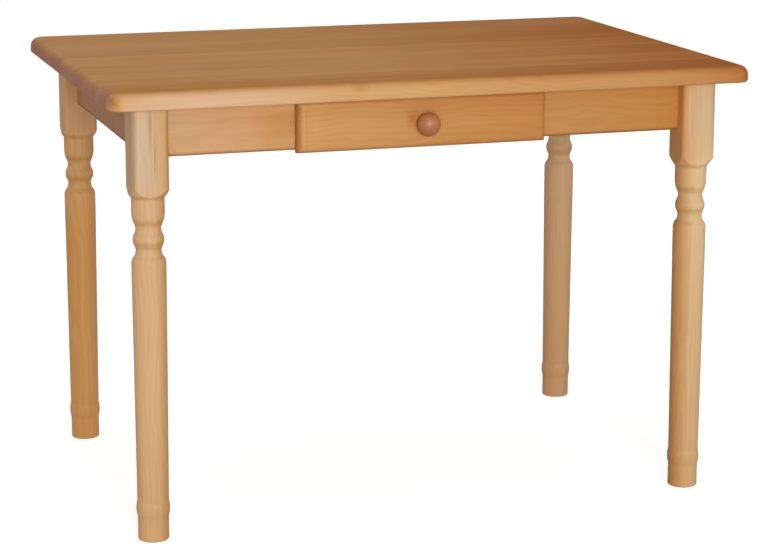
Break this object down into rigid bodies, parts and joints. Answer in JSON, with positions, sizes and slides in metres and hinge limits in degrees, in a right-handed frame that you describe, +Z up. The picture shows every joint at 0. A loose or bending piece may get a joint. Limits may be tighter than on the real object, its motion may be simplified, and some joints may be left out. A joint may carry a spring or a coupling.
{
  "type": "tavern table",
  "caption": "Rectangular pine table with a round-edged glued top, turned legs with square blocks, plain aprons and a front drawer with a round wooden knob.",
  "frame": {"origin": "on the floor, under the middle of the tabletop", "axes": "+X along the table's length, +Y from the drawer's side to the back, +Z up"},
  "size_m": [1.1, 0.75, 0.75],
  "materials": {
    "pine_top": "amber lacquered pine, satin, grain along the length",
    "pine_leg": "pale lacquered pine, satin, grain up the leg",
    "pine_apron": "honey lacquered pine, satin",
    "pine_drawer": "honey lacquered pine, satin, moulded edge",
    "pine_hidden": "planed bare pine",
    "plywood": "sanded plywood",
    "knob_wood": "red-brown lacquered hardwood, glossy",
    "beech_dowel": "fluted beech dowel",
    "zinc_steel": "zinc-plated steel"
  },
  "bodies": {
    "table": {"top_board_1": "pine_top", "top_board_2": "pine_top", "top_board_3": "pine_top", "top_board_4": "pine_top", "top_board_5": "pine_top", "top_board_6": "pine_top", "top_board_7": "pine_top", "leg_front_left": "pine_leg", "leg_front_right": "pine_leg", "leg_back_right": "pine_leg", "leg_back_left": "pine_leg", "apron_front": "pine_apron", "apron_right": "pine_apron", "apron_back": "pine_apron", "apron_left": "pine_apron", "corner_block_front_left": "pine_hidden", "corner_block_front_right": "pine_hidden", "corner_block_back_right": "pine_hidden", "corner_block_back_left": "pine_hidden", "top_cleat_left": "pine_hidden", "top_cleat_right": "pine_hidden", "top_cleat_back": "pine_hidden", "drawer_runner_left": "pine_hidden", "drawer_runner_right": "pine_hidden", "drawer_kicker_left": "pine_hidden", "drawer_kicker_right": "pine_hidden", "drawer_turn_button": "pine_hidden", "hanger_bolts": "zinc_steel", "bolt_washers": "zinc_steel", "bolt_nuts": "zinc_steel", "corner_block_screws": "zinc_steel", "cleat_screws": "zinc_steel", "tabletop_screws": "zinc_steel", "turn_button_screw": "zinc_steel"},
    "drawer": {"drawer_front": "pine_drawer", "drawer_knob": "knob_wood", "drawer_inner_front": "pine_hidden", "drawer_side_left": "pine_hidden", "drawer_side_right": "pine_hidden", "drawer_back": "pine_hidden", "drawer_bottom": "plywood", "drawer_dowels": "beech_dowel", "drawer_front_screws": "zinc_steel", "knob_screw": "zinc_steel"}
  },
  "joints": [
    {"name": "drawer_slide", "type": "slide", "parent": "table", "child": "drawer", "axis": [0, -1, 0], "range_m": [0, 0.357]}
  ]
}
